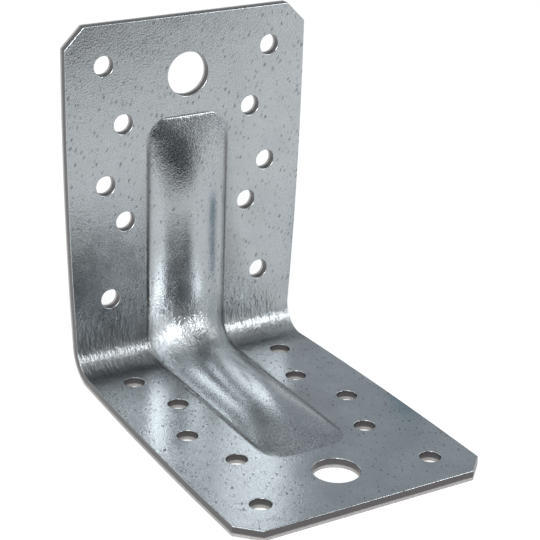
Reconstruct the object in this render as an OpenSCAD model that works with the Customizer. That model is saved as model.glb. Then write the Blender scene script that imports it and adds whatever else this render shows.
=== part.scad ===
// Reinforced angle bracket.
// One galvanised steel sheet, punched flat, pressed with a stiffening rib and folded square.
// The rib bulges into the fold and is hollow at the back, with the sheet's thickness all over.
// It is drawn with the outside of the fold at the origin, then set so that the origin is at the
// centre of its footprint: X across the width, base leg towards -Y, upright leg up Z.

/* [Legs] */
// Height of the upright leg, from the underside of the base leg
upright_h = 90; // [86:0.5:140]
// Length of the base leg, from the back of the upright leg
base_l = 89.5; // [86:0.5:140]
// Width across the free ends
width = 65; // [60:0.5:100]
// Thickness of the sheet
sheet_t = 2.5; // [1.5:0.1:3]
// Inside radius of the fold
fold_r = 6.5; // [4:0.5:8]
// Cut off each free corner, along either edge
corner_cut = 5; // [1:0.5:7]
// How far each side edge is drawn in at the fold
draw_in = 2.5; // [0.5:0.1:3.5]
// Distance from the fold over which the side edges are drawn in
draw_len = 75; // [50:1:78]

/* [Rib] */
// Width of the rib between its two feet
rib_w = 21.4; // [16:0.2:23]
// Height of the rib above each leg beside the fold
rib_h = 3.5; // [2:0.1:5]
// Height that the rib already has next to its ends
rib_end_h = 1.8; // [1:0.1:2]
// Distance from each end over which the rib gains its height
rib_fade = 30; // [15:1:38]
// Radius of the rib's crown as it turns through the fold
crown_r = 10; // [8:0.5:13]
// Radius of the rib's corners, seen from the front
rib_corner_r = 5; // [3:0.5:8]
// Flat land between each bolt hole and the end of the rib
rib_land = 4.7; // [2.5:0.1:8]
// Half the width of the hollow curve at the rib's foot
rib_foot = 0.6; // [0.3:0.1:0.9]

/* [Holes] */
// Diameter of the nail holes
nail_d = 5; // [3:0.1:5.5]
// Diameter of the bolt holes
bolt_d = 11; // [6:0.5:13]
// Spacing across the bracket of the outer nail holes
nail_outer_w = 45; // [42:0.5:48]
// Spacing across the bracket of the inner nail holes
nail_inner_w = 35; // [34:0.5:38]
// From the free end to the last nail holes
nail_end = 10; // [8:0.5:11]
// From the free end to the centre of the bolt hole
bolt_end = 14.7; // [11:0.1:18]
// Pitch of the nail rows
row_pitch = 15; // [13:0.5:16]
// From the back to the first row on the base leg
base_row = 15; // [14:0.5:17]
// From the underside to the first row on the upright leg
upright_row = 20; // [16:0.5:22]
// From the first to the second row on the upright leg
upright_gap = 20; // [16:0.5:22]

/* [Hidden] */

// Each leg's holes are pairs of [spacing across, distance from the outside of the fold]
upright_nails = [
    [nail_outer_w, upright_row],
    [nail_inner_w, upright_row + upright_gap],
    [nail_outer_w, upright_h - nail_end - 2 * row_pitch],
    [nail_inner_w, upright_h - nail_end - row_pitch],
    [nail_outer_w, upright_h - nail_end]
];
base_nails = [
    [nail_outer_w, base_row],
    [nail_inner_w, base_row + row_pitch],
    [nail_outer_w, base_row + 2 * row_pitch],
    [nail_inner_w, base_row + 3 * row_pitch],
    [nail_outer_w, base_l - nail_end]
];

// Fold, sides and holes
outer_r = fold_r + sheet_t;
draw_r = (draw_len * draw_len + draw_in * draw_in) / (2 * draw_in);
hole_facets = 64;
fold_facets = 96;
side_steps = 15;
over = 2;

// Rib: its crown turns about an axis inside the fold, at this distance from both outside faces
axis_d = sheet_t + rib_h + crown_r;
half_w = rib_w / 2;
turn_half = crown_r * PI / 4;
upright_tip = upright_h - bolt_end - bolt_d / 2 - rib_land;
base_tip = base_l - bolt_end - bolt_d / 2 - rib_land;
top_s = turn_half + upright_tip - axis_d;
front_s = -(turn_half + base_tip - axis_d);
flat_turn = atan((axis_d - outer_r) / (axis_d - sheet_t));
side_wall_steps = 6;
foot_steps = 4;
wall_crowding = 1.25;
crown_gap = 0.9;
fold_steps = 18;
turn_in_steps = 4;
leg_steps = 10;
corner_steps = 6;
end_steps = 4;
tiny = 0.001;

// Where the pressed part joins the plain sheet its skin dips into the sheet, so that the two cross cleanly
lap = 0.3;
lap_in = 0.2;
dip = 0.015;
edge = rib_foot + lap_in + lap;
window_edge = edge - 0.9 * lap;

// How far a side edge or a hole is drawn in at a distance from the fold
function draw(d) = d >= draw_len ? 0 : draw_r - sqrt(draw_r * draw_r - (draw_len - d) * (draw_len - d));

function between(a, b, f) = a + (b - a) * f;
function clamp(v) = min(max(v, 0), 1);
function ease(f) = f * f * (3 - 2 * f);

// Angle of the turn at a place along the rib: 0 where the upright leg starts, 90 where the base leg does
function turn_angle(s) = 45 * (1 - s / turn_half);

// Distance from the turn's axis to the inner face of the plain sheet
function to_sheet(a) =
    a < flat_turn ? (axis_d - sheet_t) / cos(a)
    : a > 90 - flat_turn ? (axis_d - sheet_t) / sin(a)
    : let (k = axis_d - outer_r, m = k * (cos(a) + sin(a))) m + sqrt(m * m - 2 * k * k + fold_r * fold_r);

// Inner face of the plain sheet at a place along the rib, as [y, z]
function sheet_face(s) =
    s >= turn_half ? [-sheet_t, axis_d + s - turn_half]
    : s <= -turn_half ? [-axis_d + s + turn_half, sheet_t]
    : let (a = turn_angle(s)) [-axis_d, axis_d] + to_sheet(a) * [cos(a), -sin(a)];

// Direction in which the rib bulges there
function bulge(s) =
    s >= turn_half ? [-1, 0]
    : s <= -turn_half ? [0, 1]
    : let (a = turn_angle(s)) [-cos(a), sin(a)];

// Direction straight out through the plain sheet there
function sheet_out(s) =
    let (p = sheet_face(s))
    p[1] >= outer_r ? [1, 0]
    : p[0] <= -outer_r ? [0, -1]
    : (p - [-outer_r, outer_r]) / fold_r;

// Height of the crown above the plain sheet
function crown_h(s) =
    abs(s) < turn_half ? to_sheet(turn_angle(s)) - crown_r
    : let (left = s > 0 ? top_s - s : s - front_s)
      between(rib_end_h, rib_h, ease(clamp(left / rib_fade)));

// Height of the rib at a distance in from its foot: an arc, with a hollow curve at the foot
function arc_h(h, e) =
    let (r = (half_w * half_w + h * h) / (2 * h), x = half_w - e)
    sqrt(r * r - x * x) - (r - h);
function rib_height(h, e) =
    e <= -rib_foot ? 0
    : e >= rib_foot ? arc_h(h, e)
    : arc_h(h, rib_foot) * pow((e + rib_foot) / (2 * rib_foot), 2);

// A ring of the rib lies at a distance e in from its foot. A key names a place on that ring.
function corner_at(e) = rib_corner_r * (half_w - e) / half_w;
function spot(key, e) =
    let (r = corner_at(e), x = half_w - e, top = top_s - e, front = front_s + e)
    key[0] == "side" ? [key[2] * x, between(front + r, top - r, key[1])]
    : key[0] == "end" ? [key[1] * (x - r), key[3] > 0 ? top : front]
    : let (square = e < -rib_foot ? max(cos(key[1]), sin(key[1])) : 1,
           mid = key[3] > 0 ? top - r : front + r)
      [key[2] * (x - r + r * cos(key[1]) / square), mid + key[3] * r * sin(key[1]) / square];

// How far the skin stands proud of the plain sheet outside the rib's foot
function proud(e) = e < -edge + lap / 2 ? -dip : dip;

// Point on the visible face
function face_point(key, e) =
    let (q = spot(key, e),
         p = sheet_face(q[1]) + (e < -rib_foot ? -sheet_out(q[1]) * proud(e)
                                               : bulge(q[1]) * rib_height(crown_h(q[1]), e)))
    [q[0], p[0], p[1]];

// Point on the back, one sheet thickness behind it
function unit(v) = v / norm(v);
function nudge(key, by) = [key[0], key[1] + by, key[2], key[3]];
function back_point(key, e) =
    let (q = spot(key, e), p = face_point(key, e))
    e < -rib_foot ? p + (sheet_t + 2 * proud(e)) * [0, sheet_out(q[1])[0], sheet_out(q[1])[1]]
    : e == -rib_foot ? p + sheet_t * [0, sheet_out(q[1])[0], sheet_out(q[1])[1]]
    : let (along = face_point(nudge(key, tiny), e) - face_point(nudge(key, -tiny), e),
           across = face_point(key, e + tiny) - face_point(key, e - tiny),
           n = unit(cross(along, across)),
           out = -[0, bulge(q[1])[0], bulge(q[1])[1]])
      p + sheet_t * (n * out < 0 ? -n : n);

// Place along the rib that lies over a given angle of the fold: 0 at the upright leg, 90 at the base leg
function over_fold_angle(b) =
    let (k = axis_d - outer_r)
    turn_half * (1 - atan2(k + fold_r * sin(b), k + fold_r * cos(b)) / 45);
fold_end = over_fold_angle(0);

// Places along a side: closest together through the fold, wider apart on the legs
side_places = [
    for (i = [0 : leg_steps - 1]) between(front_s + rib_corner_r, -turn_half, i / leg_steps),
    for (i = [0 : turn_in_steps - 1]) between(-turn_half, -fold_end, i / turn_in_steps),
    for (i = [0 : fold_steps - 1]) over_fold_angle(90 * (1 - i / fold_steps)),
    for (i = [0 : turn_in_steps - 1]) between(fold_end, turn_half, i / turn_in_steps),
    for (i = [0 : leg_steps]) between(turn_half, top_s - rib_corner_r, i / leg_steps)
];
side_share = [for (s = side_places) (s - front_s - rib_corner_r) / (top_s - front_s - 2 * rib_corner_r)];
sides = len(side_share);
keys = [
    for (i = [0 : sides - 1]) ["side", side_share[i], 1, 0],
    for (i = [1 : corner_steps]) ["corner", 90 * i / corner_steps, 1, 1],
    for (i = [1 : end_steps - 1]) ["end", 1 - 2 * i / end_steps, 0, 1],
    for (i = [0 : corner_steps - 1]) ["corner", 90 - 90 * i / corner_steps, -1, 1],
    for (i = [0 : sides - 1]) ["side", side_share[sides - 1 - i], -1, 0],
    for (i = [1 : corner_steps]) ["corner", 90 * i / corner_steps, -1, -1],
    for (i = [1 : end_steps - 1]) ["end", -1 + 2 * i / end_steps, 0, -1],
    for (i = [0 : corner_steps - 1]) ["corner", 90 - 90 * i / corner_steps, 1, -1]
];

// Rings from the window's edge inwards: flat land, hollow foot, then the arc up to the crown
rings = [
    -edge,
    -edge + lap,
    for (i = [0 : foot_steps]) between(-rib_foot, rib_foot, i / foot_steps),
    for (i = [1 : side_wall_steps]) between(rib_foot, half_w - crown_gap, pow(i / side_wall_steps, wall_crowding))
];

// The pressed part of the sheet, as a closed skin of rings that fills the window
module rib() {
    n = len(keys);
    last = len(rings) - 1;
    back = n * len(rings);
    left_top = sides + 2 * corner_steps + end_steps - 1;
    left_bottom = left_top + sides - 1;
    function ring_at(k, i) = k * n + (i % n);
    points = concat(
        [for (e = rings, key = keys) face_point(key, e)],
        [for (e = rings, key = keys) back_point(key, e)]
    );
    slopes = [
        for (k = [0 : last - 1], i = [0 : n - 1])
            [ring_at(k, i), ring_at(k, i + 1), ring_at(k + 1, i + 1), ring_at(k + 1, i)]
    ];
    crown = [
        for (i = [0 : sides - 2])
            [ring_at(last, i), ring_at(last, i + 1), ring_at(last, left_bottom - i - 1), ring_at(last, left_bottom - i)]
    ];
    quads = concat(slopes, crown);
    skin = concat(
        [for (q = quads) [q[0], q[1], q[2]]],
        [for (q = quads) [q[0], q[2], q[3]]],
        [for (i = [sides : left_top - 1]) [ring_at(last, sides - 1), ring_at(last, i), ring_at(last, i + 1)]],
        [for (i = [left_bottom + 1 : n - 1]) [ring_at(last, left_bottom), ring_at(last, i), ring_at(last, i + 1)]]
    );
    faces = concat(
        [for (f = skin) [f[2], f[1], f[0]]],
        [for (f = skin) [f[0] + back, f[1] + back, f[2] + back]],
        [for (i = [0 : n - 1]) [ring_at(0, i), ring_at(0, i + 1), back + ring_at(0, i + 1)]],
        [for (i = [0 : n - 1]) [ring_at(0, i), back + ring_at(0, i + 1), back + ring_at(0, i)]]
    );
    polyhedron(points = points, faces = faces, convexity = 6);
}

// The flat of one leg, from the fold to its free end: its side edges are drawn in towards the fold
module leg(length) {
    w = width / 2;
    right = concat(
        [for (i = [0 : side_steps - 1]) let (d = between(outer_r, draw_len, i / side_steps)) [w - draw(d), d]],
        [[w, draw_len], [w, length - corner_cut], [w - corner_cut, length]]
    );
    last = len(right) - 1;
    outline = concat(right, [for (i = [0 : last]) [-right[last - i][0], right[last - i][1]]]);
    rotate([90, 0, 0]) linear_extrude(sheet_t) polygon(outline);
}

// The quarter turn between the legs
module fold() {
    w = width / 2 - draw(outer_r);
    translate([-w, 0, 0]) rotate([90, 0, 90]) linear_extrude(2 * w) intersection() {
        translate([-outer_r, outer_r]) difference() {
            circle(outer_r, $fn = fold_facets);
            circle(fold_r, $fn = fold_facets);
        }
        translate([-outer_r, 0]) square(outer_r);
    }
}

// Holes of one leg, drilled along Y into an upright leg
module leg_holes(nails, bolt_at) {
    for (nail = nails, side = [-1, 1])
        translate([side * (nail[0] / 2 - draw(nail[1])), over, nail[1]])
            rotate([90, 0, 0]) cylinder(d = nail_d, h = sheet_t + 2 * over, $fn = hole_facets);
    translate([0, over, bolt_at])
        rotate([90, 0, 0]) cylinder(d = bolt_d, h = sheet_t + 2 * over, $fn = hole_facets);
}

// The base leg is the upright leg's twin across the fold's 45 degree plane
module over_fold() {
    mirror([0, 1, 1]) children();
}

// Opening in the plain sheet that the pressed part fills
module window() {
    x = half_w + window_edge;
    translate([-x, -base_tip - window_edge, -over])
        cube([2 * x, base_tip + window_edge + over, upright_tip + window_edge + over]);
}

module bracket() {
    color([0.66, 0.68, 0.70]) translate([0, base_l / 2, 0]) difference() {
        union() {
            difference() {
                union() {
                    fold();
                    leg(upright_h);
                    over_fold() leg(base_l);
                }
                window();
            }
            rib();
        }
        leg_holes(upright_nails, upright_h - bolt_end);
        over_fold() leg_holes(base_nails, base_l - bolt_end);
    }
}

bracket();
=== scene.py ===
"""Looks of the reinforced angle bracket: one galvanised sheet, punched, ribbed and folded."""

import math

import bmesh
import bpy
import numpy as np
from mathutils import Matrix, Vector


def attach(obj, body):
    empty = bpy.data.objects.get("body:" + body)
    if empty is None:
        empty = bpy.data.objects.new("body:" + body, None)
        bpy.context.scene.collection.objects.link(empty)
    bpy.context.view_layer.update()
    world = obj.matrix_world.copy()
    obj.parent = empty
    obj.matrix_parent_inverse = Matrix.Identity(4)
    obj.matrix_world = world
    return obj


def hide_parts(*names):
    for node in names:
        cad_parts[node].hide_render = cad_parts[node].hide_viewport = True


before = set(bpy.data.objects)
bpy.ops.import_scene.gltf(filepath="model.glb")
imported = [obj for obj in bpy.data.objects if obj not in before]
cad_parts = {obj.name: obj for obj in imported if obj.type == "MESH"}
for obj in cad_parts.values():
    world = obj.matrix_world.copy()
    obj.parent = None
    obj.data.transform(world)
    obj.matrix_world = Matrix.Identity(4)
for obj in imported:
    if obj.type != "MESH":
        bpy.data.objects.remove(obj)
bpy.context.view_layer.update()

# The sheet and its fold, in metres
SHEET = 0.0025
NEAR_FACE, MID_SHEET, NEAR_BACK = 0.3 * SHEET, 0.5 * SHEET, 0.7 * SHEET
BACK_Y = 0.04475
FACE_Y = BACK_Y - SHEET
FOLD_Y, FOLD_Z = 0.03575, 0.009
FOLD_INSIDE = FOLD_Z - SHEET

# The rib as the CAD solid has it, and the axis that it turns round through the fold
RIB_HALF = 0.0107
RIB_HEIGHT = 0.0035
RIB_FOOT = 0.0006
RIB_CORNER = 0.005
RIB_LAND = 0.0011
RIB_REACH, BASE_RIB_REACH = 0.0648, 0.0643
END_HEIGHT, END_FADE = 0.0018, 0.030
CROWN_RADIUS = 0.01
HALF_TURN_DEGREES = 45
TURN_Y, TURN_Z = 0.02875, 0.016
TURN_LENGTH = CROWN_RADIUS * math.pi / 4
TURN_TO_FACE = TURN_Z - SHEET
FOLD_OFFSET = TURN_Z - FOLD_Z
UPRIGHT_END = TURN_LENGTH + RIB_REACH - TURN_Z
BASE_END = TURN_LENGTH + BASE_RIB_REACH - TURN_Z

# The rib's ends as pressed: a small lip, then a long ramp with rounded corners
LIP_HEIGHT, LIP_WIDTH = 0.00017, 0.0007
BASE_LIP_SHARE = 0.25
RAMP, RAMP_POWER = 0.024, 1.8
CORNER_BLEND = 0.0028

# Edges: the roll on the visible side, the smaller one on the back, and the share at the corners
DIE_ROLL, BURR_SIDE = 0.00022, 0.00007
CORNER_SHARE = 0.4
SHARP_EDGE, SMOOTH_EDGE, FLAT_EDGE = math.radians(40), math.radians(34), math.radians(0.3)

# How far outside the pressed part each step still counts a point as part of it
JOIN_MARGIN, SKIN_MARGIN, EDGE_MARGIN = -0.0001, 0.00015, 0.0004
WALL_MARGIN, SHADE_MARGIN, CREASE_MARGIN = -0.0002, 0.0002, 0.001

# Steps and limits of the calculation
WELD = 2e-6
LAP_RIDGE = 0.00006
NORMAL_STEP = 2e-5
BACK_STEPS = 12
LEAST_HEIGHT, LEAST_SHARE, LEAST_COSINE = 1e-7, 1e-6, 0.3
FACE_MATCH, ROUND_MATCH, WALL_MATCH = 0.97, 0.8, 0.5


def deselect_all():
    """Nothing stays selected, so that the next operator acts on the new piece alone."""
    for thing in bpy.context.selected_objects:
        thing.select_set(False)


def pick(thing):
    """Makes one object the only selected one and the active one."""
    deselect_all()
    thing.select_set(True)
    bpy.context.view_layer.objects.active = thing


def apply_modifiers(thing):
    """Each modifier goes into the mesh, in order."""
    pick(thing)
    for modifier in list(thing.modifiers):
        bpy.ops.object.modifier_apply(modifier=modifier.name)


def corners_of(mesh):
    """The mesh's points, one row each."""
    points = np.zeros(len(mesh.vertices) * 3)
    mesh.vertices.foreach_get("co", points)
    return points.reshape(-1, 3)


# Places on the sheet
def in_fold(y, z):
    """True where the plain sheet is curved."""
    return (y > FOLD_Y) & (z < FOLD_Z)


def in_rib(x, y, z, margin=0.0):
    """True inside the pressed part of the sheet."""
    reach = RIB_REACH + RIB_LAND + margin
    return (abs(x) < RIB_HALF + RIB_LAND + margin) & (z < reach) & (y > BACK_Y - reach)


def sheet_depth(y, z):
    """Depth under the visible face of the plain sheet: 0 on the face, SHEET on the back."""
    fold = np.hypot(y - FOLD_Y, z - FOLD_Z) - FOLD_INSIDE
    upright = y - FACE_Y
    base = SHEET - z
    return np.where(in_fold(y, z), fold, np.where(upright > base, upright, base))


def blank_length(y, z):
    """Place along the sheet laid flat: 0 at the fold's middle, more than 0 up the upright leg."""
    turn = np.degrees(np.arctan2(TURN_Z - z, y - TURN_Y))
    in_turn = (y > TURN_Y) & (z < TURN_Z)
    up = TURN_LENGTH + z - TURN_Z
    down = -(TURN_LENGTH + TURN_Y - y)
    turned = TURN_LENGTH * (1 - turn / HALF_TURN_DEGREES)
    return np.where(in_turn, turned, np.where(z >= TURN_Z, up, down))


def from_side(x):
    """Distance in from the nearest side of the rib."""
    return RIB_HALF - abs(x)


def from_end(place):
    """Distance in from the nearest end of the rib."""
    return np.minimum(UPRIGHT_END - place, BASE_END + place)


def from_outline(x, place):
    """Distance in from the rib's outline, which has rounded corners."""
    side, end = from_side(x), from_end(place)
    corner = RIB_CORNER - np.hypot(RIB_CORNER - side, RIB_CORNER - end)
    near_corner = (side < RIB_CORNER) & (end < RIB_CORNER)
    return np.where(near_corner, corner, np.minimum(side, end))


# The pressed rib, as heights over the plain sheet
def soft_step(inward, reach):
    """0 outside the rib's foot, 1 from that reach inwards, and a soft rise between them."""
    share = np.clip((inward + RIB_FOOT) / (reach + RIB_FOOT), 0, 1)
    return share * share * (3 - 2 * share)


def turn_angle(place):
    """Angle round the rib's turning axis: 0 at the upright leg, a quarter turn at the base."""
    return np.radians(HALF_TURN_DEGREES * (1 - place / TURN_LENGTH))


def turn_to_sheet(angle):
    """Distance from the rib's turning axis to the inner face of the plain sheet."""
    start = math.atan(FOLD_OFFSET / TURN_TO_FACE)
    middle = FOLD_OFFSET * (np.cos(angle) + np.sin(angle))
    curved = middle + np.sqrt(np.maximum(middle**2 - 2 * FOLD_OFFSET**2 + FOLD_INSIDE**2, 0))
    on_upright = TURN_TO_FACE / np.maximum(np.cos(angle), LEAST_COSINE)
    on_base = TURN_TO_FACE / np.maximum(np.sin(angle), LEAST_COSINE)
    beyond = np.where(angle > math.pi / 2 - start, on_base, curved)
    return np.where(angle < start, on_upright, beyond)


def lift_of(y, z, place):
    """How far a point stands over the inner face of the plain sheet."""
    turn = turn_to_sheet(turn_angle(place)) - np.hypot(y - TURN_Y, z - TURN_Z)
    return np.where(abs(place) < TURN_LENGTH, turn, np.where(place > 0, FACE_Y - y, z - SHEET))


def crown_height(place, on_legs):
    """The crown's height: as given on the legs, and out to the crown's radius in the fold."""
    in_turn = turn_to_sheet(turn_angle(place)) - CROWN_RADIUS
    return np.where(abs(place) < TURN_LENGTH, in_turn, on_legs)


def arc_across(height, inward):
    """The rib's section: an arc of that height, with a hollow curve at each foot."""
    height = np.maximum(height, LEAST_HEIGHT)
    radius = (RIB_HALF**2 + height**2) / (2 * height)

    def arc(e):
        return np.sqrt(np.maximum(radius**2 - (RIB_HALF - e) ** 2, 0)) - (radius - height)

    foot = arc(np.full_like(height, RIB_FOOT)) * ((inward + RIB_FOOT) / (2 * RIB_FOOT)) ** 2
    raised = np.where(inward >= RIB_FOOT, arc(np.maximum(inward, RIB_FOOT)), foot)
    return np.where(inward <= -RIB_FOOT, 0, raised)


def packed_height(x, place):
    """The rib's height as the CAD solid has it."""
    ratio = np.clip(from_end(place) / END_FADE, 0, 1)
    leg = END_HEIGHT + (RIB_HEIGHT - END_HEIGHT) * ratio**2 * (3 - 2 * ratio)
    return arc_across(crown_height(place, leg), from_outline(x, place))


def pressed_height(x, place):
    """The rib's height as pressed: each end has a small lip and ramps up in one long soft curve."""
    side, end = from_side(x), from_end(place)
    lip = LIP_HEIGHT * np.where(place > 0, 1, BASE_LIP_SHARE)

    def ramp(e):
        rise = 1 - (1 - np.clip(e / RAMP, 0, 1)) ** RAMP_POWER
        return lip * np.clip(e / LIP_WIDTH, 0, 1) + (RIB_HEIGHT - LIP_HEIGHT) * rise

    foot = ramp(RIB_FOOT) * (np.clip(end + RIB_FOOT, 0, 1) / (2 * RIB_FOOT)) ** 2
    leg = np.where(end < RIB_FOOT, foot, ramp(end))
    height = arc_across(crown_height(place, leg), side)

    # Where the outline is rounded, the height fades in from the rounded corner
    outline, square = from_outline(x, place), np.minimum(side, end)
    inner = np.maximum(soft_step(square, CORNER_BLEND), LEAST_SHARE)
    fade = np.clip(soft_step(outline, CORNER_BLEND) / inner, 0, 1)
    return height * np.where(outline < square - LEAST_HEIGHT, fade, 1)


def rib_point(x, place, height):
    """Points at that height over the plain sheet, one row of x, y and z each."""
    up, down = place >= TURN_LENGTH, place <= -TURN_LENGTH
    angle = turn_angle(place)
    reach = turn_to_sheet(angle) - height
    y = np.where(up, FACE_Y - height, TURN_Y + reach * np.cos(angle))
    y = np.where(down, TURN_Y + TURN_LENGTH + place, y)
    z = np.where(up, TURN_Z + place - TURN_LENGTH, TURN_Z - reach * np.sin(angle))
    z = np.where(down, SHEET + height, z)
    return np.stack([x, y, z], axis=1)


def rib_normal(x, place, height_of):
    """Direction out of the visible face, for a rib with that height."""
    steps = (-NORMAL_STEP, NORMAL_STEP)
    ends = [rib_point(x, place + d, height_of(x, place + d)) for d in steps]
    sides = [rib_point(x + d, place, height_of(x + d, place)) for d in steps]
    normal = np.cross(sides[1] - sides[0], ends[1] - ends[0])
    return normal / np.linalg.norm(normal, axis=1)[:, None]


def face_place(back, height_of):
    """Places on the visible face that points on the back lie straight behind."""
    x, place = back[:, 0], blank_length(back[:, 1], back[:, 2])
    for _ in range(BACK_STEPS):
        start = back + SHEET * rib_normal(x, place, height_of)
        x, place = start[:, 0], blank_length(start[:, 1], start[:, 2])
    return x, place


# The bracket
def copy_of_bracket():
    """A copy of the CAD node's mesh with its loose triangles joined into one skin."""
    pick(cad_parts["bracket"])
    bpy.ops.object.duplicate()
    piece = bpy.context.active_object
    piece.name = "pressed_sheet"
    piece.data.name = "pressed_sheet"
    piece.parent = None
    for key in [k for k in piece.keys() if k.startswith("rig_")]:
        del piece[key]
    piece.data.materials.clear()
    pick(piece)
    bpy.ops.object.mode_set(mode="EDIT")
    bpy.ops.mesh.select_all(action="SELECT")
    bpy.ops.mesh.remove_doubles(threshold=WELD)
    bpy.ops.object.mode_set(mode="OBJECT")
    return piece


def level_lap(piece):
    """The thin ridge where the pressed part meets the plain sheet goes level with the sheet."""
    points = corners_of(piece.data)
    y, z = points[:, 1], points[:, 2]
    folded = in_fold(y, z)
    reach = np.hypot(y - FOLD_Y, z - FOLD_Z)
    for level in (FOLD_INSIDE, FOLD_Z):
        near = folded & (abs(reach - level) < LAP_RIDGE)
        points[near, 1] = FOLD_Y + (y[near] - FOLD_Y) * level / reach[near]
        points[near, 2] = FOLD_Z + (z[near] - FOLD_Z) * level / reach[near]
    for level in (FACE_Y, BACK_Y):
        points[~folded & (z >= FOLD_Z) & (abs(y - level) < LAP_RIDGE), 1] = level
    for level in (0.0, SHEET):
        points[~folded & (y <= FOLD_Y) & (abs(z - level) < LAP_RIDGE), 2] = level
    piece.data.vertices.foreach_set("co", points.ravel())
    piece.data.update()


def join_flats(piece):
    """Flat faces become single faces again, so that the edges can be rounded cleanly."""
    pick(piece)
    bpy.ops.object.mode_set(mode="EDIT")
    bpy.ops.mesh.select_all(action="SELECT")
    bpy.ops.mesh.remove_doubles(threshold=WELD)
    bpy.ops.mesh.dissolve_degenerate(threshold=WELD)
    bpy.ops.mesh.select_all(action="DESELECT")
    bpy.ops.object.mode_set(mode="OBJECT")
    points = piece.data.vertices
    for face in piece.data.polygons:
        face.select = not all(in_rib(*points[i].co, JOIN_MARGIN) for i in face.vertices)
    bpy.ops.object.mode_set(mode="EDIT")
    bpy.ops.mesh.dissolve_limited(angle_limit=FLAT_EDGE)
    bpy.ops.object.mode_set(mode="OBJECT")


def refine_rib(mesh):
    """The rib's skin gets faces of half the size."""
    shape = bmesh.new()
    shape.from_mesh(mesh)

    def inside(face):
        x, y, z = face.calc_center_median()
        return in_rib(x, y, z) and all(in_rib(*v.co, SKIN_MARGIN) for v in face.verts)

    edges = {e for f in shape.faces if inside(f) for e in f.edges}
    bmesh.ops.subdivide_edges(shape, edges=list(edges), cuts=1, use_grid_fill=True)
    bmesh.ops.triangulate(shape, faces=[f for f in shape.faces if len(f.verts) > 4])
    shape.to_mesh(mesh)
    shape.free()


def pressed_back(old):
    """Where points on the back go, so that the pressed sheet keeps its thickness."""
    x, place = face_place(old, packed_height)
    face = rib_point(x, place, pressed_height(x, place))
    new = face - SHEET * rib_normal(x, place, pressed_height)
    keep = from_outline(x, place) <= -RIB_FOOT
    new[keep] = old[keep]
    return new


def press_rib(piece):
    """The rib gets its pressed form, on the visible face and on the back alike."""
    mesh = piece.data
    refine_rib(mesh)
    points = corners_of(mesh)
    here = in_rib(*points.T, SKIN_MARGIN)
    old = points[here]
    new = old.copy()
    x, y, z = old.T
    place = blank_length(y, z)
    front = lift_of(y, z, place) > packed_height(x, place) - MID_SHEET
    lifted = front & (from_outline(x, place) > -RIB_FOOT)
    new[lifted] = rib_point(x, place, pressed_height(x, place))[lifted]
    new[~front] = pressed_back(old[~front])
    points[here] = new
    mesh.vertices.foreach_set("co", points.ravel())
    mesh.update()


def round_edges(piece):
    """Punched edges roll over on the visible side and stay sharp on the back."""
    mesh = piece.data
    shape = bmesh.new()
    shape.from_mesh(mesh)
    weight = shape.edges.layers.float.new("bevel_weight_edge")
    for edge in shape.edges:
        if len(edge.link_faces) != 2 or edge.calc_face_angle(0) < SHARP_EDGE:
            continue
        tips = [v.co for v in edge.verts]
        x, y, z = (sum(tip[i] for tip in tips) / 2 for i in range(3))
        if in_rib(x, y, z, EDGE_MARGIN):
            continue
        depths = [sheet_depth(tip.y, tip.z) for tip in tips]
        if max(depths) < NEAR_FACE:
            edge[weight] = 1.0
        elif min(depths) > NEAR_BACK:
            edge[weight] = BURR_SIDE / DIE_ROLL
        else:
            edge[weight] = CORNER_SHARE
    shape.to_mesh(mesh)
    shape.free()
    bevel = piece.modifiers.new("die_roll", "BEVEL")
    bevel.limit_method = "WEIGHT"
    bevel.width = DIE_ROLL
    bevel.segments = 3
    bevel.use_clamp_overlap = False
    bevel.loop_slide = False
    bevel.miter_outer = "MITER_SHARP"
    apply_modifiers(piece)


# Painted shade and dirt in the crease round the rib, in metres from its outline and from its ends
CREASE_WIDTH, CREASE_OUT, CREASE_DEPTH = 0.0006, 0.0001, 0.0012
CREASE_AT_ENDS, CREASE_START, CREASE_RISE = 0.04, 0.002, 0.007

# Where the zinc changes and where shade is painted on it, in metres on the flat sheet from the
# middle of its fold
STRAINED = 0.0095
BENT = (0.004, 0.012)
CRINKLED = (0.005, 0.013)
BESIDE_EDGE = (0.0285, 0.0305)
# Painted shade in the fold fades out from its left to its right over this stretch
BESIDE_RIB = (0.0104, 0.0124)
LEFT_TO_RIGHT = (-0.02, 0.02)
# Painted shade: a dark band across the fold's base side, its middle and its width
SHADE_BAND_AT, SHADE_BAND = -0.0036, (0.0006, 0.0034)
HAIR_LINES_AT, HAIR_LINES = (-0.0225, -0.0705, 0.0), (0.005, 0.011)

# How deep under the face a sheared wall turns from burnished to torn
TORN = (0.60 * SHEET, 0.74 * SHEET)


def mark_places(piece):
    """Writes on each point its place on the flat sheet, where the zinc is strained, and the
    crease's painted shade and dirt.
    """
    points = corners_of(piece.data)
    x, y, z = points.T
    length = blank_length(y, z)
    flat = np.stack([x, length, sheet_depth(y, z)], axis=1)
    place = piece.data.attributes.new("blank_place", "FLOAT_VECTOR", "POINT")
    place.data.foreach_set("vector", flat.astype(np.float32).ravel())

    # The sheet is strained on the ramps and in the fold
    end, outline = from_end(length), from_outline(x, length)
    ramps = np.where(outline > 0, soft_step(RAMP - end, RAMP), 0) * in_rib(x, y, z)
    strain = np.maximum(ramps, np.exp(-((length / STRAINED) ** 4)))

    # Painted shade, with some dirt, darkens the crease along the rib's sides, on the visible face
    # alone
    sides = CREASE_AT_ENDS + (1 - CREASE_AT_ENDS) * soft_step(end - CREASE_START, CREASE_RISE)
    crease = np.exp(-(((outline + CREASE_OUT) / CREASE_WIDTH) ** 2)) * sides
    deep = lift_of(y, z, length) < -CREASE_DEPTH
    crease[deep | ~in_rib(x, y, z, CREASE_MARGIN)] = 0

    for name, values in (("strain", strain), ("crease", crease)):
        mark = piece.data.attributes.new(name, "FLOAT", "POINT")
        mark.data.foreach_set("value", values.astype(np.float32))


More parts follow.
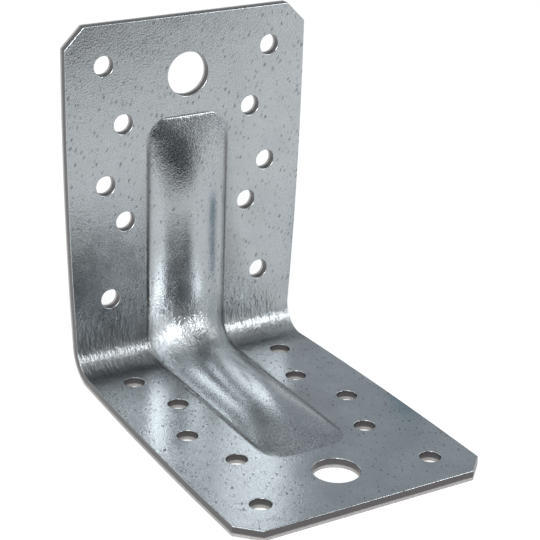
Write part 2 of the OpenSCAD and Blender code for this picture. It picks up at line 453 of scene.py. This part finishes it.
def paint_walls(piece, face_finish, wall_finish):
    """The sheared walls get their own finish, and all else is galvanised face."""
    mesh = piece.data
    mesh.materials.append(face_finish)
    mesh.materials.append(wall_finish)
    for face in mesh.polygons:
        x, y, z = face.center
        if in_rib(x, y, z, WALL_MARGIN):
            continue
        if in_fold(y, z):
            out = Vector((0, y - FOLD_Y, z - FOLD_Z)).normalized()
        elif z > FOLD_Z:
            out = Vector((0, 1, 0))
        else:
            out = Vector((0, 0, 1))
        if abs(face.normal.dot(out)) < WALL_MATCH:
            face.material_index = 1


def smooth(piece):
    """Smooth shading that leans to the large faces, with the sharp edges kept."""
    pick(piece)
    bpy.ops.object.shade_smooth_by_angle(angle=SMOOTH_EDGE)
    shading = piece.modifiers.new("even_shading", "WEIGHTED_NORMAL")
    shading.keep_sharp = True
    shading.weight = 60
    apply_modifiers(piece)


def sheet_directions(points):
    """The exact direction out of the sheet at each point, on the visible face or on the back."""
    x, y, z = points.T
    place = blank_length(y, z)
    folded = in_fold(y, z)
    pressed = in_rib(x, y, z, SHADE_MARGIN)
    under_rib = lift_of(y, z, place) < pressed_height(x, place) - MID_SHEET
    behind = np.where(pressed, under_rib, sheet_depth(y, z) > MID_SHEET)
    face, back = pressed & ~behind, pressed & behind
    out = np.zeros_like(points)
    out[folded] = np.stack([x * 0, FOLD_Y - y, FOLD_Z - z], axis=1)[folded]
    out[~folded & (z >= FOLD_Z)] = (0, -1, 0)
    out[~folded & (z < FOLD_Z)] = (0, 0, 1)
    out[face] = rib_normal(x[face], place[face], pressed_height)
    out[back] = rib_normal(*face_place(points[back], pressed_height), pressed_height)
    out /= np.linalg.norm(out, axis=1)[:, None]
    out[behind] *= -1
    return out


def true_shading(piece):
    """The faces of the sheet and of the rib are shaded by the exact directions of their surface."""
    mesh = piece.data
    corners = np.zeros(len(mesh.loops), dtype=np.int32)
    mesh.loops.foreach_get("vertex_index", corners)
    spans = np.zeros(len(mesh.polygons), dtype=np.int32)
    mesh.polygons.foreach_get("loop_total", spans)
    flat = np.zeros(len(mesh.polygons) * 3)
    mesh.polygons.foreach_get("normal", flat)
    flat = np.repeat(flat.reshape(-1, 3), spans, axis=0)
    shaded = np.zeros(len(mesh.loops) * 3)
    mesh.corner_normals.foreach_get("vector", shaded)
    shaded = shaded.reshape(-1, 3)
    points = corners_of(mesh)
    exact = sheet_directions(points)[corners]

    # A rounded edge keeps its own shading, but for the corners that it shares with a face
    on_face = (flat * exact).sum(axis=1) > FACE_MATCH
    touched = np.zeros(len(points), dtype=bool)
    touched[corners[on_face]] = True
    near = touched[corners] & ((shaded * exact).sum(axis=1) > ROUND_MATCH)
    shaded[on_face | near] = exact[on_face | near]
    mesh.normals_split_custom_set(shaded.tolist())


# Finishes
class Board:
    """The nodes of one material or group, with short calls to add and join them."""

    def __init__(self, tree):
        self.nodes = tree.nodes
        self.links = tree.links

    def add(self, kind, inputs=None, **settings):
        """A new node with those settings, and with values or links in its sockets."""
        node = self.nodes.new(kind)
        for name, value in settings.items():
            setattr(node, name, value)
        for name, value in (inputs or {}).items():
            self.put(node.inputs[name], value)
        return node

    def put(self, socket, value):
        """A plain value is set on the socket, and another node's output is joined to it."""
        if isinstance(value, bpy.types.NodeSocket):
            self.links.new(value, socket)
        else:
            socket.default_value = value

    def mark(self, name, output="Fac"):
        """What mark_places wrote on the points under that name."""
        return self.add("ShaderNodeAttribute", attribute_name=name).outputs[output]

    def parts(self, vector):
        """The X, Y and Z of a vector."""
        return self.add("ShaderNodeSeparateXYZ", {0: vector}).outputs

    def math(self, operation, a, b=0.5, clamp=False):
        inputs = {0: a, 1: b}
        return self.add("ShaderNodeMath", inputs, operation=operation, use_clamp=clamp).outputs[0]

    def plus(self, a, b):
        return self.math("ADD", a, b)

    def minus(self, a, b):
        return self.math("SUBTRACT", a, b)

    def times(self, a, b):
        return self.math("MULTIPLY", a, b)

    def size_of(self, a):
        """The value without its sign."""
        return self.math("ABSOLUTE", a)

    def vector(self, operation, inputs, output=0):
        return self.add("ShaderNodeVectorMath", inputs, operation=operation).outputs[output]

    def span(self, value, low, high, to_low=0.0, to_high=1.0, curve="SMOOTHSTEP"):
        """The stretch from low to high becomes the one from to_low to to_high, and stays in it."""
        inputs = {"Value": value, "From Min": low, "From Max": high}
        inputs.update({"To Min": to_low, "To Max": to_high})
        return self.add("ShaderNodeMapRange", inputs, interpolation_type=curve).outputs["Result"]

    def mix(self, share, a, b):
        """Colour a, with that share of colour b."""
        node = self.add("ShaderNodeMix", data_type="RGBA")
        self.put(node.inputs["Factor"], share)
        self.put(node.inputs[6], a)
        self.put(node.inputs[7], b)
        return node.outputs[2]

    def noise(self, place, scale, detail=2.0, roughness=0.5, output="Fac"):
        inputs = {"Vector": place, "Scale": scale, "Detail": detail, "Roughness": roughness}
        return self.add("ShaderNodeTexNoise", inputs).outputs[output]

    def drawn(self, place, width, length, turn=0.0, move=0.0):
        """Place in steps of that width and length, in metres, along axes turned by that angle."""
        node = self.add("ShaderNodeMapping", {"Vector": place}, vector_type="TEXTURE")
        node.inputs["Location"].default_value = (move, 2 * move, 0)
        node.inputs["Rotation"].default_value = (0, 0, math.radians(turn))
        node.inputs["Scale"].default_value = (width, length, 0.5 * (width + length))
        return node.outputs["Vector"]

    def wavy(self, place, scale, amount):
        """Place moved about by a fine noise, so that marks laid on it get ragged outlines."""
        wave = self.noise(place, scale, output="Color")
        middle = self.vector("SUBTRACT", {0: wave, 1: (0.5, 0.5, 0.5)})
        short = self.vector("SCALE", {0: middle, "Scale": amount})
        return self.vector("ADD", {0: place, 1: short})

    def flecks(self, place, share, radius):
        """Soft spots, one at most to a cell of the place, each with its own size and depth."""
        inputs = {"Vector": place, "Scale": 1.0}
        cells = self.add("ShaderNodeTexVoronoi", inputs, voronoi_dimensions="2D").outputs
        chance = self.add("ShaderNodeSeparateColor", {0: cells["Color"]}).outputs
        there = self.math("LESS_THAN", chance[0], share)
        size = self.span(chance[1], 0.0, 1.0, 0.45 * radius, radius, curve="LINEAR")
        spot = self.span(self.math("DIVIDE", cells["Distance"], size), 0.3, 1.0, 1.0, 0.0)
        depth = self.span(chance[2], 0.0, 1.0, 0.3, 1.0, curve="LINEAR")
        return self.times(spot, self.times(there, depth))

    def relief(self, height, distance, strength):
        """The normal of a surface with that height, where a height of 1 is that many metres."""
        inputs = {"Strength": strength, "Distance": distance, "Height": height}
        return self.add("ShaderNodeBump", inputs).outputs["Normal"]


def zinc_coat_group():
    """Marks of a hot-dipped zinc coat: dark flecks drawn along the sheet, clouds and fine grain."""
    tree = bpy.data.node_groups.new("zinc_coat", "ShaderNodeTree")
    tree.interface.new_socket("Place", in_out="INPUT", socket_type="NodeSocketVector")
    for label, value in (("Fleck Share", 0.55), ("Cloud Size", 120.0), ("Grain Size", 1900.0)):
        socket = tree.interface.new_socket(label, in_out="INPUT", socket_type="NodeSocketFloat")
        socket.default_value = value
    for label in ("Flecks", "Clouds", "Grain", "Height"):
        tree.interface.new_socket(label, in_out="OUTPUT", socket_type="NodeSocketFloat")
    given = tree.nodes.new("NodeGroupInput").outputs
    made = tree.nodes.new("NodeGroupOutput").inputs
    b = Board(tree)
    place = given["Place"]
    parts = b.parts(place)

    # Flecks come in clusters, and there are more of them beside the sheared edges
    clusters = b.span(b.noise(place, 210.0, roughness=0.6), 0.36, 0.64, 0.35, 1.5)
    at_edge = b.span(b.size_of(parts["X"]), *BESIDE_EDGE, 0.0, 0.7)
    share = b.times(given["Fleck Share"], b.plus(clusters, at_edge))
    ragged = b.wavy(place, 1500.0, 0.0008)
    large = b.drawn(ragged, width=0.0013, length=0.0029, turn=-25.0)
    small = b.drawn(ragged, width=0.00062, length=0.0013, turn=-32.0, move=0.03)
    bold = b.flecks(large, share, radius=0.31)
    faint = b.flecks(small, b.times(share, 1.2), radius=0.32)
    flecks = b.math("MAXIMUM", bold, b.times(faint, 0.45), clamp=True)

    # Soft clouds, and a fine grain with short streaks in it
    clouds = b.noise(place, given["Cloud Size"], detail=4.0, roughness=0.55)
    streak_place = b.drawn(place, width=0.00022, length=0.0012, turn=-30.0, move=0.07)
    streaks = b.noise(streak_place, 1.0, roughness=0.6)
    grain = b.noise(place, given["Grain Size"], roughness=0.6)
    grain = b.plus(b.times(grain, 0.7), b.times(streaks, 0.3))

    # The coat crinkles where the fold strained it
    wrinkles = b.noise(b.drawn(place, width=0.0011, length=0.0022), 1.0, roughness=0.6)
    crinkle = b.times(wrinkles, b.span(b.size_of(parts["Y"]), *CRINKLED, 2.2, 0.0))
    height = b.plus(b.plus(grain, b.times(clouds, 1.2)), crinkle)

    b.put(made["Flecks"], flecks)
    b.put(made["Clouds"], b.span(clouds, 0.3, 0.7))
    b.put(made["Grain"], grain)
    b.put(made["Height"], b.minus(height, b.times(flecks, 0.12)))
    return tree


def empty_board(owner, output_kind):
    """An empty board for a material or the world, and the socket that its shader goes into."""
    owner.use_nodes = True
    owner.node_tree.nodes.clear()
    b = Board(owner.node_tree)
    return b, b.add(output_kind).inputs["Surface"]


def new_material(name):
    """A new material, its empty board and the socket that its shader goes into."""
    material = bpy.data.materials.new(name)
    return material, *empty_board(material, "ShaderNodeOutputMaterial")


def new_finish(name, coat, levels):
    """A finish, its board, its surface's sockets, the place on the sheet and the coat's marks."""
    finish, b, out = new_material(name)
    surface = b.add("ShaderNodeBsdfPrincipled")
    b.put(out, surface.outputs[0])
    place = b.mark("blank_place", "Vector")
    marks = b.add("ShaderNodeGroup", {"Place": place, **levels}, node_tree=coat)
    return finish, b, surface.inputs, place, marks.outputs


def hair_lines(b, place):
    """Faint hair lines that curl round the nail hole at the base's near left corner."""
    wave = b.noise(b.drawn(place, width=0.009, length=0.0045), 1.0, detail=1.0, roughness=0.4)
    step = b.math("FRACT", b.times(wave, 9.0))
    line = b.span(b.size_of(b.minus(step, 0.5)), 0.0, 0.1, 1.0, 0.0)
    broken = b.span(b.noise(place, 260.0, detail=1.0), 0.45, 0.55)
    away = b.vector("DISTANCE", {0: place, 1: HAIR_LINES_AT}, "Value")
    near = b.span(away, *HAIR_LINES, 1.0, 0.0)
    return b.times(line, b.times(near, broken))


ZINC, PALE_ZINC = (0.362, 0.386, 0.398, 1), (0.415, 0.44, 0.453, 1)
GRAIN_GREY, SPECK_GREY = (0.31, 0.33, 0.345, 1), (0.12, 0.13, 0.145, 1)
# Greys of painted shade in the fold:
FOLD_SHADE_GREY, SHADE_BAND_GREY = (0.2, 0.21, 0.22, 1), (0.08, 0.083, 0.088, 1)
FLECK_GREY, HAIR_LINE_GREY = (0.11, 0.12, 0.13, 1), (0.16, 0.17, 0.18, 1)
# Painted shade, with some dirt, for the rib's crease:
CREASE_SHADE_AND_DIRT = (0.062, 0.058, 0.055, 1)


def galvanised_finish(coat):
    """Satin zinc: clouded, flecked, specked where strained, painted shade in the fold, shade and
    dirt at the rib.
    """
    finish, b, surface, place, marks = new_finish("galvanised_face", coat, {})
    parts = b.parts(place)
    along = b.size_of(parts["Y"])
    strain = b.mark("strain")
    bent = b.span(along, *BENT, 1.0, 0.0)
    unbent = b.span(along, *BENT, 0.2, 1.0)
    beside_rib = b.span(b.size_of(parts["X"]), *BESIDE_RIB, 0.15, 1.0)
    shade_to_left = b.span(parts["X"], *LEFT_TO_RIGHT, 0.6, 0.0)
    shade_band = b.span(b.size_of(b.minus(parts["Y"], SHADE_BAND_AT)), *SHADE_BAND, 0.5, 0.0)
    grain = b.span(marks["Grain"], 0.38, 0.62)
    specks = b.times(strain, b.span(b.noise(place, 2600.0), 0.46, 0.56, 0.0, 0.55))

    # Each layer of colour goes over the ones before it
    tone = b.mix(marks["Clouds"], ZINC, PALE_ZINC)
    for share, colour in (
        (b.times(grain, 0.25), GRAIN_GREY),
        (b.times(specks, unbent), SPECK_GREY),
        # Painted shade: the fold is darkened, most at its left, to dim its highlight
        (b.times(b.times(bent, shade_to_left), beside_rib), FOLD_SHADE_GREY),
        # Painted shade: a dark band on the fold's base side, beneath its highlight
        (b.times(shade_band, beside_rib), SHADE_BAND_GREY),
        (b.times(marks["Flecks"], 0.7), FLECK_GREY),
        (b.times(hair_lines(b, place), 0.7), HAIR_LINE_GREY),
        # Painted shade, with some dirt, along the rib's crease
        (b.times(b.mark("crease"), 0.75), CREASE_SHADE_AND_DIRT),
    ):
        tone = b.mix(share, tone, colour)
    b.put(surface["Base Color"], tone)
    b.put(surface["Metallic"], 1.0)

    rough = b.plus(b.span(marks["Clouds"], 0.0, 1.0, 0.19, 0.25), b.times(bent, 0.09))
    b.put(surface["Roughness"], b.plus(rough, b.times(marks["Flecks"], 0.15)))
    depth = b.plus(b.span(strain, 0.0, 1.0, 0.4, 0.8, curve="LINEAR"), b.times(bent, 0.3))
    height = b.times(marks["Height"], depth)
    b.put(surface["Normal"], b.relief(height, distance=0.0001, strength=1.0))
    return finish


BURNISHED, TORN_STEEL = (0.105, 0.10, 0.10, 1), (0.46, 0.45, 0.44, 1)
PIT_GREY = (0.09, 0.085, 0.085, 1)


def sheared_finish(coat):
    """The punched walls: burnished dark near the face, torn and lighter near the back."""
    finish, b, surface, place, marks = new_finish("sheared_wall", coat, {"Grain Size": 3600.0})
    unevenness = b.times(b.minus(marks["Grain"], 0.5), 0.0009)
    torn = b.span(b.plus(b.parts(place)["Z"], unevenness), *TORN)
    pits = b.times(b.span(marks["Grain"], 0.4, 0.62), 0.35)
    b.put(surface["Base Color"], b.mix(pits, b.mix(torn, BURNISHED, TORN_STEEL), PIT_GREY))
    b.put(surface["Metallic"], 0.9)
    b.put(surface["Roughness"], b.span(torn, 0.0, 1.0, 0.34, 0.6))
    b.put(surface["Normal"], b.relief(marks["Grain"], distance=0.00008, strength=0.5))
    return finish


# Studio
WHITE, DAYLIGHT = (1, 1, 1, 1), (0.96, 0.98, 1.0, 1)
FLOOR_RADIUS, FLOOR_DROP = 3.0, 0.00004


def around(heading, distance, height):
    """A place round the set: heading in degrees from +X to +Y, distance and height in metres."""
    turn = math.radians(heading)
    return (distance * math.cos(turn), distance * math.sin(turn), height)


def stand(thing, place, aim, front):
    """Puts a board or a lamp at its place, with its front turned to the point it faces."""
    thing.location = place
    thing.rotation_mode = "QUATERNION"
    thing.rotation_quaternion = (Vector(aim) - Vector(place)).to_track_quat(front, "Y")


def seen_ray(b):
    """1 for rays from the camera, and for those off metal or through glass, else 0."""
    path = b.add("ShaderNodeLightPath").outputs
    mirrored = b.plus(path["Is Glossy Ray"], path["Is Transmission Ray"])
    return b.math("ADD", path["Is Camera Ray"], mirrored, clamp=True)


def pale_world(light_level):
    """A white backdrop that lights the object with less than it shows."""
    world = bpy.data.worlds.new("studio")
    bpy.context.scene.world = world
    b, out = empty_board(world, "ShaderNodeOutputWorld")
    seen = b.add("ShaderNodeBackground", {"Color": WHITE, "Strength": 1.0})
    light = b.add("ShaderNodeBackground", {"Color": DAYLIGHT, "Strength": light_level})
    blend = {0: seen_ray(b), 1: light.outputs[0], 2: seen.outputs[0]}
    b.put(out, b.add("ShaderNodeMixShader", blend).outputs[0])


def pale_floor(grey, glow_level):
    """A round floor that takes the object's shadow and otherwise looks white."""
    deselect_all()
    bpy.ops.mesh.primitive_circle_add(
        vertices=64, radius=FLOOR_RADIUS, fill_type="NGON", location=(0, 0, -FLOOR_DROP)
    )
    floor = bpy.context.active_object
    floor.name = "studio_floor"
    finish, b, out = new_material("pale_floor")
    lit = b.add("ShaderNodeBsdfDiffuse", {"Color": (grey, grey, grey, 1)})
    shine = {"Color": WHITE, "Strength": b.times(seen_ray(b), glow_level)}
    glow = b.add("ShaderNodeEmission", shine)
    b.put(out, b.add("ShaderNodeAddShader", {0: lit.outputs[0], 1: glow.outputs[0]}).outputs[0])
    floor.data.materials.append(finish)


def studio_board(name, place, aim, size, tone):
    """A board that only the metal mirrors: it casts no shadow and no light on the object."""
    deselect_all()
    bpy.ops.mesh.primitive_plane_add(size=1.0, location=(0, 0, 0))
    board = bpy.context.active_object
    board.name = name
    board.scale = (*size, 1)
    stand(board, place, aim, front="Z")
    finish, b, out = new_material(name)
    b.put(out, b.add("ShaderNodeEmission", {"Color": (*tone, 1), "Strength": 1.0}).outputs[0])
    board.data.materials.append(finish)
    board.visible_camera = board.visible_diffuse = board.visible_shadow = False


def soft_lamp(name, place, aim, size, watts):
    """A plain white lamp with a face of that width and height."""
    data = bpy.data.lights.new(name, "AREA")
    data.shape = "RECTANGLE"
    data.size, data.size_y = size
    data.energy = watts
    lamp = bpy.data.objects.new(name, data)
    bpy.context.scene.collection.objects.link(lamp)
    stand(lamp, place, aim, front="-Z")


def studio_camera():
    """Stands where the photograph was taken from."""
    data = bpy.data.cameras.new("camera")
    data.sensor_width = 36.0
    data.lens = 115.463
    data.clip_start, data.clip_end = 0.01, 20.0
    camera = bpy.data.objects.new("camera", data)
    bpy.context.scene.collection.objects.link(camera)
    place = (-0.191107, -0.312781, 0.197696)
    right = Vector((0.86052, -0.50858, 0.02924))
    up = Vector((0.17804, 0.35402, 0.91814))
    back = -Vector((0.4773, 0.78487, -0.39519))
    turn = Matrix((right, up, back)).transposed().to_4x4()
    camera.matrix_world = Matrix.Translation(place) @ turn
    bpy.context.scene.camera = camera


bracket = copy_of_bracket()
level_lap(bracket)
join_flats(bracket)
press_rib(bracket)
round_edges(bracket)
mark_places(bracket)
zinc_coat = zinc_coat_group()
paint_walls(bracket, galvanised_finish(zinc_coat), sheared_finish(zinc_coat))
smooth(bracket)
true_shading(bracket)
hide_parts("bracket")
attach(bracket, "root")

pale_world(light_level=0.62)
pale_floor(grey=0.45, glow_level=0.64)

# Boards: name, place, the point it faces, width and height, and the tone that the metal mirrors
FRONT, FAR = (0.05, -0.212), (0.438, 0.71)
FOOT, LOW, MIDDLE, HIGH = (0, 0, 0), (0, 0, 0.02), (0, 0, 0.03), (0, 0, 0.2)
BLACK, DARK_GREY, GREY = (0.006, 0.006, 0.01), (0.08, 0.085, 0.09), (0.24, 0.25, 0.27)
BACK_GREY, CARD_BLUE = (0.52, 0.55, 0.58), (0.19, 0.31, 0.38)
LEFT_WHITE, HIGH_WHITE, RIGHT_WHITE = (2.3, 2.35, 2.4), (1.9, 1.9, 1.9), (2.4, 2.4, 2.4)
for board_facts in (
    ("black_front_low", (*FRONT, 0.03), (*FAR, 0.03), (0.284, 0.06), BLACK),
    ("grey_front_high", (*FRONT, 0.13), (*FAR, 0.13), (0.284, 0.14), GREY),
    ("grey_back_right", around(56, 0.7, 0.48), HIGH, (1.0, 0.95), BACK_GREY),
    ("dark_above_right", around(-18, 0.36, 0.62), FOOT, (0.5, 0.26), DARK_GREY),
    ("pale_left", around(184, 0.6, 0.3), LOW, (0.5, 0.56), LEFT_WHITE),
    ("pale_high_left", around(-128, 0.32, 0.8), FOOT, (0.5, 0.4), HIGH_WHITE),
    ("pale_right", around(-4, 0.6, 0.34), LOW, (0.3, 0.16), RIGHT_WHITE),
    ("blue_card", (0.055, 0.02, 0.013), (0, 0.02, 0.013), (0.014, 0.026), CARD_BLUE),
):
    studio_board(*board_facts)
soft_lamp("near_camera", around(-129, 0.75, 0.45), MIDDLE, (0.46, 0.42), watts=6.4)
soft_lamp("front_right", around(-50, 0.62, 0.38), MIDDLE, (0.24, 0.3), watts=1.55)
studio_camera()

bpy.context.scene.view_settings.view_transform = "Standard"
